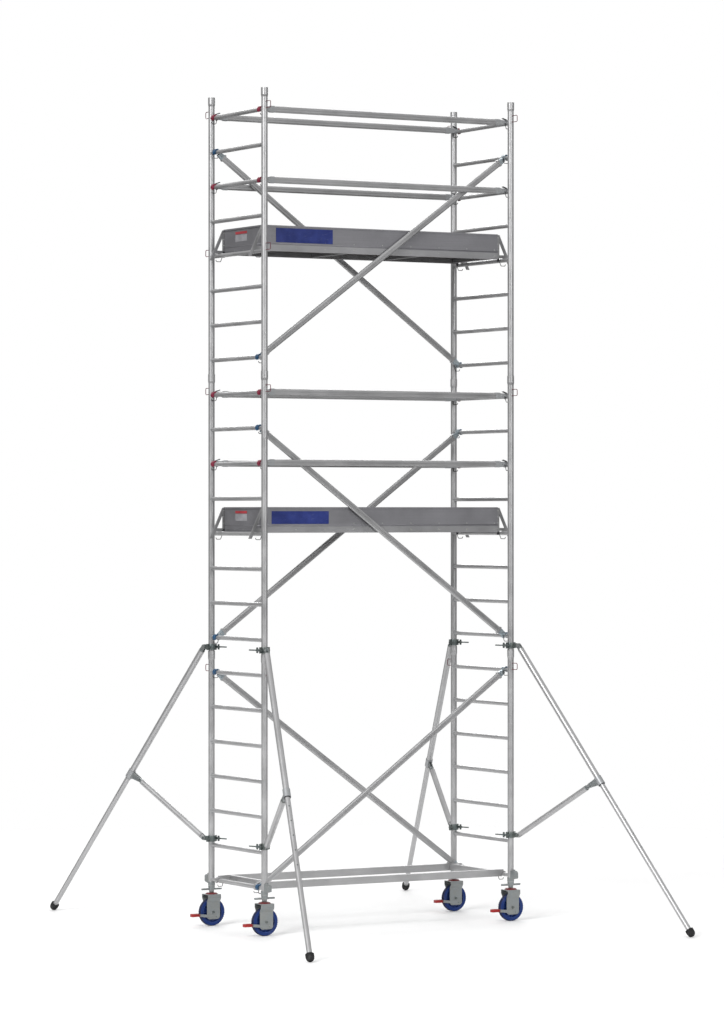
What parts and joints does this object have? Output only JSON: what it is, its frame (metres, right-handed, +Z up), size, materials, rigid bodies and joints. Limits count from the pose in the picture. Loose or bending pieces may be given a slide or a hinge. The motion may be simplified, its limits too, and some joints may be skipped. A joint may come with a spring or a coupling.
{
  "type": "mobile tower scaffold",
  "caption": "Aluminium mobile scaffold tower with ladder frames, two decks, guardrails, diagonal braces, braked swivel casters and outriggers.",
  "frame": {"origin": "on the floor at the centre of the tower's plan", "axes": "+X along the tower from the left ladder frames to the right ones, +Y across it towards the back, +Z up"},
  "size_m": [3.1276, 3.996, 5.985],
  "materials": {
    "aluminium_tube": "drawn aluminium tube, satin",
    "aluminium_extrusion": "extruded aluminium, satin",
    "aluminium_sheet": "aluminium sheet and plate, matt",
    "deck_board": "film-faced plywood, dark",
    "red_plastic": "moulded claw, dark red",
    "blue_plastic": "moulded claw, blue",
    "red_wire": "red coated spring wire",
    "zinc_wire": "zinc-plated spring wire",
    "zinc_steel": "zinc-plated pressed steel",
    "wheel_blue": "moulded wheel centre, blue",
    "pedal_red": "moulded pedal, red"
  },
  "bodies": {
    "tower": {"base_frame_left": "aluminium_tube", "base_frame_right": "aluminium_tube", "middle_frame_left": "aluminium_tube", "middle_frame_right": "aluminium_tube", "top_frame_left": "aluminium_tube", "top_frame_right": "aluminium_tube", "locking_clips": "red_wire", "stem_locks": "zinc_steel", "guardrails": "aluminium_extrusion", "guardrail_claws": "red_plastic", "diagonal_braces": "aluminium_extrusion", "brace_claws": "blue_plastic", "claw_latches": "zinc_wire", "base_chassis": "aluminium_extrusion", "platform_frames": "aluminium_extrusion", "platform_brackets": "aluminium_sheet", "platform_decks": "deck_board", "toe_boards": "aluminium_sheet"},
    "nut_front_left": {"jack_nut_front_left": "zinc_steel"},
    "jack_front_left": {"caster_stem_front_left": "zinc_steel"},
    "fork_front_left": {"caster_fork_front_left": "zinc_steel"},
    "wheel_front_left": {"caster_wheel_front_left": "wheel_blue"},
    "pedal_front_left": {"brake_pedal_front_left": "pedal_red"},
    "outrigger_front_left": {"outrigger_upper_coupler_front_left": "zinc_steel"},
    "leg_front_left": {"outrigger_leg_front_left": "aluminium_tube"},
    "strut_front_left": {"outrigger_strut_front_left": "aluminium_tube"},
    "lower_coupler_front_left": {"outrigger_lower_coupler_front_left": "zinc_steel"},
    "extension_front_left": {"outrigger_extension_front_left": "aluminium_tube"},
    "nut_front_right": {"jack_nut_front_right": "zinc_steel"},
    "jack_front_right": {"caster_stem_front_right": "zinc_steel"},
    "fork_front_right": {"caster_fork_front_right": "zinc_steel"},
    "wheel_front_right": {"caster_wheel_front_right": "wheel_blue"},
    "pedal_front_right": {"brake_pedal_front_right": "pedal_red"},
    "outrigger_front_right": {"outrigger_upper_coupler_front_right": "zinc_steel"},
    "leg_front_right": {"outrigger_leg_front_right": "aluminium_tube"},
    "strut_front_right": {"outrigger_strut_front_right": "aluminium_tube"},
    "lower_coupler_front_right": {"outrigger_lower_coupler_front_right": "zinc_steel"},
    "extension_front_right": {"outrigger_extension_front_right": "aluminium_tube"},
    "nut_back_left": {"jack_nut_back_left": "zinc_steel"},
    "jack_back_left": {"caster_stem_back_left": "zinc_steel"},
    "fork_back_left": {"caster_fork_back_left": "zinc_steel"},
    "wheel_back_left": {"caster_wheel_back_left": "wheel_blue"},
    "pedal_back_left": {"brake_pedal_back_left": "pedal_red"},
    "outrigger_back_left": {"outrigger_upper_coupler_back_left": "zinc_steel"},
    "leg_back_left": {"outrigger_leg_back_left": "aluminium_tube"},
    "strut_back_left": {"outrigger_strut_back_left": "aluminium_tube"},
    "lower_coupler_back_left": {"outrigger_lower_coupler_back_left": "zinc_steel"},
    "extension_back_left": {"outrigger_extension_back_left": "aluminium_tube"},
    "nut_back_right": {"jack_nut_back_right": "zinc_steel"},
    "jack_back_right": {"caster_stem_back_right": "zinc_steel"},
    "fork_back_right": {"caster_fork_back_right": "zinc_steel"},
    "wheel_back_right": {"caster_wheel_back_right": "wheel_blue"},
    "pedal_back_right": {"brake_pedal_back_right": "pedal_red"},
    "outrigger_back_right": {"outrigger_upper_coupler_back_right": "zinc_steel"},
    "leg_back_right": {"outrigger_leg_back_right": "aluminium_tube"},
    "strut_back_right": {"outrigger_strut_back_right": "aluminium_tube"},
    "lower_coupler_back_right": {"outrigger_lower_coupler_back_right": "zinc_steel"},
    "extension_back_right": {"outrigger_extension_back_right": "aluminium_tube"},
    "hatch_lower": {"deck_hatch_lower": "deck_board"},
    "hatch_upper": {"deck_hatch_upper": "deck_board"}
  },
  "joints": [
    {"name": "nut_turn_front_left", "type": "hinge", "parent": "tower", "child": "nut_front_left", "pos_m": [-1.025, -0.4, 0.265], "axis": [0, 0, 1], "range_deg": [-9000, 0]},
    {"name": "jack_slide_front_left", "type": "slide", "parent": "tower", "child": "jack_front_left", "axis": [0, 0, 1], "range_m": [-0.2001, 0]},
    {"name": "swivel_front_left", "type": "hinge", "parent": "jack_front_left", "child": "fork_front_left", "pos_m": [-1.025, -0.4, 0.229], "axis": [0, 0, 1], "continuous": true},
    {"name": "wheel_spin_front_left", "type": "hinge", "parent": "fork_front_left", "child": "wheel_front_left", "pos_m": [-1.025, -0.4, 0.1], "axis": [0, 1, 0], "continuous": true},
    {"name": "brake_front_left", "type": "hinge", "parent": "fork_front_left", "child": "pedal_front_left", "pos_m": [-1.005, -0.4, 0.066], "axis": [0, -1, 0], "range_deg": [0, 12]},
    {"name": "outrigger_swing_front_left", "type": "hinge", "parent": "tower", "child": "outrigger_front_left", "pos_m": [-1.025, -0.4, 2.015], "axis": [0, 0, -1], "range_deg": [-18, 60]},
    {"name": "leg_tilt_front_left", "type": "hinge", "parent": "outrigger_front_left", "child": "leg_front_left", "pos_m": [-1.04818, -0.47133, 2.015], "axis": [-0.9511, 0.309, 0], "range_deg": [0, 2]},
    {"name": "strut_fold_front_left", "type": "hinge", "parent": "leg_front_left", "child": "strut_front_left", "pos_m": [-1.25386, -1.10437, 1.0228], "axis": [-0.9511, 0.309, 0], "range_deg": [-7.45, 0]},
    {"name": "lower_coupler_slide_front_left", "type": "slide", "parent": "outrigger_front_left", "child": "lower_coupler_front_left", "axis": [0, 0, 1], "range_m": [0, 0.0888]},
    {"name": "leg_extend_front_left", "type": "slide", "parent": "leg_front_left", "child": "extension_front_left", "axis": [-0.192, -0.591, -0.7835], "range_m": [-0.5, 0.1]},
    {"name": "nut_turn_front_right", "type": "hinge", "parent": "tower", "child": "nut_front_right", "pos_m": [1.025, -0.4, 0.265], "axis": [0, 0, 1], "range_deg": [-9000, 0]},
    {"name": "jack_slide_front_right", "type": "slide", "parent": "tower", "child": "jack_front_right", "axis": [0, 0, 1], "range_m": [-0.2001, 0]},
    {"name": "swivel_front_right", "type": "hinge", "parent": "jack_front_right", "child": "fork_front_right", "pos_m": [1.025, -0.4, 0.229], "axis": [0, 0, 1], "continuous": true},
    {"name": "wheel_spin_front_right", "type": "hinge", "parent": "fork_front_right", "child": "wheel_front_right", "pos_m": [1.025, -0.4, 0.1], "axis": [0, 1, 0], "continuous": true},
    {"name": "brake_front_right", "type": "hinge", "parent": "fork_front_right", "child": "pedal_front_right", "pos_m": [1.045, -0.4, 0.066], "axis": [0, -1, 0], "range_deg": [0, 12]},
    {"name": "outrigger_swing_front_right", "type": "hinge", "parent": "tower", "child": "outrigger_front_right", "pos_m": [1.025, -0.4, 2.015], "axis": [0, 0, 1], "range_deg": [-18, 60]},
    {"name": "leg_tilt_front_right", "type": "hinge", "parent": "outrigger_front_right", "child": "leg_front_right", "pos_m": [1.04818, -0.47133, 2.015], "axis": [-0.9511, -0.309, 0], "range_deg": [0, 2]},
    {"name": "strut_fold_front_right", "type": "hinge", "parent": "leg_front_right", "child": "strut_front_right", "pos_m": [1.25386, -1.10437, 1.0228], "axis": [-0.9511, -0.309, 0], "range_deg": [-7.45, 0]},
    {"name": "lower_coupler_slide_front_right", "type": "slide", "parent": "outrigger_front_right", "child": "lower_coupler_front_right", "axis": [0, 0, 1], "range_m": [0, 0.0888]},
    {"name": "leg_extend_front_right", "type": "slide", "parent": "leg_front_right", "child": "extension_front_right", "axis": [0.192, -0.591, -0.7835], "range_m": [-0.5, 0.1]},
    {"name": "nut_turn_back_left", "type": "hinge", "parent": "tower", "child": "nut_back_left", "pos_m": [-1.025, 0.4, 0.265], "axis": [0, 0, 1], "range_deg": [-9000, 0]},
    {"name": "jack_slide_back_left", "type": "slide", "parent": "tower", "child": "jack_back_left", "axis": [0, 0, 1], "range_m": [-0.2001, 0]},
    {"name": "swivel_back_left", "type": "hinge", "parent": "jack_back_left", "child": "fork_back_left", "pos_m": [-1.025, 0.4, 0.229], "axis": [0, 0, 1], "continuous": true},
    {"name": "wheel_spin_back_left", "type": "hinge", "parent": "fork_back_left", "child": "wheel_back_left", "pos_m": [-1.025, 0.4, 0.1], "axis": [0, 1, 0], "continuous": true},
    {"name": "brake_back_left", "type": "hinge", "parent": "fork_back_left", "child": "pedal_back_left", "pos_m": [-1.005, 0.4, 0.066], "axis": [0, -1, 0], "range_deg": [0, 12]},
    {"name": "outrigger_swing_back_left", "type": "hinge", "parent": "tower", "child": "outrigger_back_left", "pos_m": [-1.025, 0.4, 2.015], "axis": [0, 0, 1], "range_deg": [-18, 60]},
    {"name": "leg_tilt_back_left", "type": "hinge", "parent": "outrigger_back_left", "child": "leg_back_left", "pos_m": [-1.04818, 0.47133, 2.015], "axis": [0.9511, 0.309, 0], "range_deg": [0, 2]},
    {"name": "strut_fold_back_left", "type": "hinge", "parent": "leg_back_left", "child": "strut_back_left", "pos_m": [-1.25386, 1.10437, 1.0228], "axis": [0.9511, 0.309, 0], "range_deg": [-7.45, 0]},
    {"name": "lower_coupler_slide_back_left", "type": "slide", "parent": "outrigger_back_left", "child": "lower_coupler_back_left", "axis": [0, 0, 1], "range_m": [0, 0.0888]},
    {"name": "leg_extend_back_left", "type": "slide", "parent": "leg_back_left", "child": "extension_back_left", "axis": [-0.192, 0.591, -0.7835], "range_m": [-0.5, 0.1]},
    {"name": "nut_turn_back_right", "type": "hinge", "parent": "tower", "child": "nut_back_right", "pos_m": [1.025, 0.4, 0.265], "axis": [0, 0, 1], "range_deg": [-9000, 0]},
    {"name": "jack_slide_back_right", "type": "slide", "parent": "tower", "child": "jack_back_right", "axis": [0, 0, 1], "range_m": [-0.2001, 0]},
    {"name": "swivel_back_right", "type": "hinge", "parent": "jack_back_right", "child": "fork_back_right", "pos_m": [1.025, 0.4, 0.229], "axis": [0, 0, 1], "continuous": true},
    {"name": "wheel_spin_back_right", "type": "hinge", "parent": "fork_back_right", "child": "wheel_back_right", "pos_m": [1.025, 0.4, 0.1], "axis": [0, 1, 0], "continuous": true},
    {"name": "brake_back_right", "type": "hinge", "parent": "fork_back_right", "child": "pedal_back_right", "pos_m": [1.045, 0.4, 0.066], "axis": [0, -1, 0], "range_deg": [0, 12]},
    {"name": "outrigger_swing_back_right", "type": "hinge", "parent": "tower", "child": "outrigger_back_right", "pos_m": [1.025, 0.4, 2.015], "axis": [0, 0, -1], "range_deg": [-18, 60]},
    {"name": "leg_tilt_back_right", "type": "hinge", "parent": "outrigger_back_right", "child": "leg_back_right", "pos_m": [1.04818, 0.47133, 2.015], "axis": [0.9511, -0.309, 0], "range_deg": [0, 2]},
    {"name": "strut_fold_back_right", "type": "hinge", "parent": "leg_back_right", "child": "strut_back_right", "pos_m": [1.25386, 1.10437, 1.0228], "axis": [0.9511, -0.309, 0], "range_deg": [-7.45, 0]},
    {"name": "lower_coupler_slide_back_right", "type": "slide", "parent": "outrigger_back_right", "child": "lower_coupler_back_right", "axis": [0, 0, 1], "range_m": [0, 0.0888]},
    {"name": "leg_extend_back_right", "type": "slide", "parent": "leg_back_right", "child": "extension_back_right", "axis": [0.192, 0.591, -0.7835], "range_m": [-0.5, 0.1]},
    {"name": "hatch_hinge_lower", "type": "hinge", "parent": "tower", "child": "hatch_lower", "pos_m": [-0.56, 0.217, 2.893], "axis": [-1, 0, 0], "range_deg": [0, 90]},
    {"name": "hatch_hinge_upper", "type": "hinge", "parent": "tower", "child": "hatch_upper", "pos_m": [-0.56, 0.217, 4.893], "axis": [-1, 0, 0], "range_deg": [0, 90]}
  ],
  "couplings": [
    {"joint": "jack_slide_front_left", "follows": "nut_turn_front_left", "m_per_rad": 0.0012732},
    {"joint": "strut_fold_front_left", "follows": "leg_tilt_front_left", "ratio": -3.7183},
    {"joint": "lower_coupler_slide_front_left", "follows": "leg_tilt_front_left", "m_per_rad": 2.5401},
    {"joint": "jack_slide_front_right", "follows": "nut_turn_front_right", "m_per_rad": 0.0012732},
    {"joint": "strut_fold_front_right", "follows": "leg_tilt_front_right", "ratio": -3.7183},
    {"joint": "lower_coupler_slide_front_right", "follows": "leg_tilt_front_right", "m_per_rad": 2.5401},
    {"joint": "jack_slide_back_left", "follows": "nut_turn_back_left", "m_per_rad": 0.0012732},
    {"joint": "strut_fold_back_left", "follows": "leg_tilt_back_left", "ratio": -3.7183},
    {"joint": "lower_coupler_slide_back_left", "follows": "leg_tilt_back_left", "m_per_rad": 2.5401},
    {"joint": "jack_slide_back_right", "follows": "nut_turn_back_right", "m_per_rad": 0.0012732},
    {"joint": "strut_fold_back_right", "follows": "leg_tilt_back_right", "ratio": -3.7183},
    {"joint": "lower_coupler_slide_back_right", "follows": "leg_tilt_back_right", "m_per_rad": 2.5401}
  ]
}
